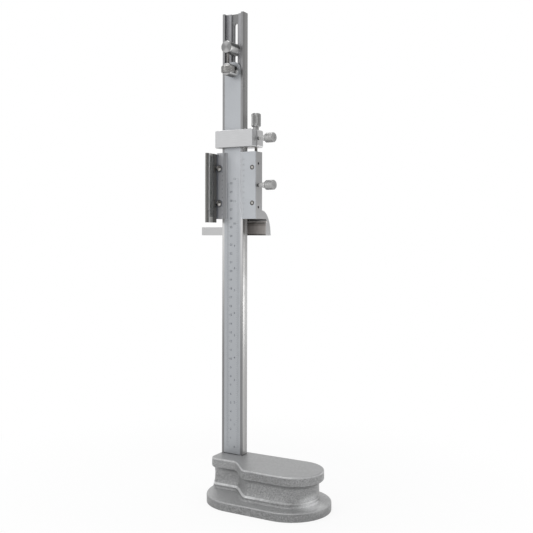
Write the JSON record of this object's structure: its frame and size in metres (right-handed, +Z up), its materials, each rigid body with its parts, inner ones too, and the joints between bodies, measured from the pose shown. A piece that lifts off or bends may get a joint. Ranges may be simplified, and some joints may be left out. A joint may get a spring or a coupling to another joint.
{
  "type": "height gauge",
  "caption": "Vernier height gauge: cast base, grooved column with an adjustable main scale, slider with metric and inch verniers and a jaw, fine-feed carriage and folding magnifier.",
  "frame": {"origin": "on the surface the base stands on, under the middle of the column's scale face", "axes": "+Z up along the column, +X along the base towards its round end, +Y backwards from the scale face"},
  "size_m": [0.1815, 0.092, 0.5453],
  "materials": {
    "cast_iron": "grey cast surface with a fine grain",
    "column_steel": "ground, satin",
    "scale_steel": "satin chrome, non-glare",
    "slider_steel": "satin ground",
    "vernier_steel": "satin chrome, non-glare",
    "bright_chrome": "turned and polished",
    "screw_steel": "turned",
    "brass": "machined",
    "bracket_steel": "dark polished",
    "lens": "clear"
  },
  "bodies": {
    "stand": {"base_casting": "cast_iron", "column_beam": "column_steel", "column_screws": "screw_steel"},
    "anchor": {"anchor_post": "bright_chrome", "scale_rod": "screw_steel"},
    "anchor_clamp": {"anchor_clamp_screw": "bright_chrome"},
    "main_scale": {"main_scale": "scale_steel", "scale_post": "bright_chrome"},
    "scale_wheel": {"scale_wheel": "bright_chrome"},
    "carriage": {"carriage_front": "slider_steel", "carriage_rear": "slider_steel", "carriage_screws": "screw_steel", "carriage_press_pad": "brass"},
    "carriage_clamp": {"carriage_clamp_screw": "bright_chrome"},
    "fine_screw": {"fine_screw": "bright_chrome"},
    "slider": {"slider_frame": "slider_steel", "metric_vernier": "vernier_steel", "inch_vernier": "vernier_steel", "vernier_screws": "screw_steel", "slider_gib": "brass", "gib_screws": "screw_steel", "fine_nut": "brass", "magnifier_bracket": "bracket_steel", "bracket_screws": "bright_chrome", "magnifier_pin": "screw_steel"},
    "slider_clamp": {"slider_clamp_screw": "bright_chrome"},
    "magnifier": {"magnifier_frame": "bracket_steel", "magnifier_lens": "lens"}
  },
  "joints": [
    {"name": "anchor_slide", "type": "slide", "parent": "stand", "child": "anchor", "axis": [0, 0, 1], "range_m": [0, 0.024]},
    {"name": "anchor_clamp_turn", "type": "hinge", "parent": "anchor", "child": "anchor_clamp", "pos_m": [0, 0.014, 0.504], "axis": [0, 1, 0], "range_deg": [0, 540]},
    {"name": "main_scale_fine", "type": "slide", "parent": "anchor", "child": "main_scale", "axis": [0, 0, 1], "range_m": [0, 0.004]},
    {"name": "scale_wheel_turn", "type": "hinge", "parent": "main_scale", "child": "scale_wheel", "pos_m": [0, -0.01, 0.4789], "axis": [0, 0, 1], "range_deg": [0, 2880]},
    {"name": "carriage_slide", "type": "slide", "parent": "stand", "child": "carriage", "axis": [0, 0, 1], "range_m": [-0.259, 0.05]},
    {"name": "carriage_clamp_turn", "type": "hinge", "parent": "carriage", "child": "carriage_clamp", "pos_m": [0.04, 0.005, 0.40125], "axis": [1, 0, 0], "range_deg": [0, 540]},
    {"name": "fine_screw_turn", "type": "hinge", "parent": "carriage", "child": "fine_screw", "pos_m": [0.0255, 0.0094, 0.4], "axis": [0, 0, 1], "range_deg": [-2880, 2880]},
    {"name": "slider_fine", "type": "slide", "parent": "carriage", "child": "slider", "axis": [0, 0, 1], "range_m": [-0.004, 0.004]},
    {"name": "slider_clamp_turn", "type": "hinge", "parent": "slider", "child": "slider_clamp", "pos_m": [0.04, 0.005, 0.3484], "axis": [1, 0, 0], "range_deg": [0, 540]},
    {"name": "magnifier_swing", "type": "hinge", "parent": "slider", "child": "magnifier", "pos_m": [-0.0203, -0.0222, 0.346], "axis": [0, 0, -1], "range_deg": [0, 90]}
  ],
  "couplings": [
    {"joint": "scale_wheel_turn", "follows": "main_scale_fine", "rad_per_m": 12566},
    {"joint": "fine_screw_turn", "follows": "slider_fine", "rad_per_m": -12566}
  ]
}
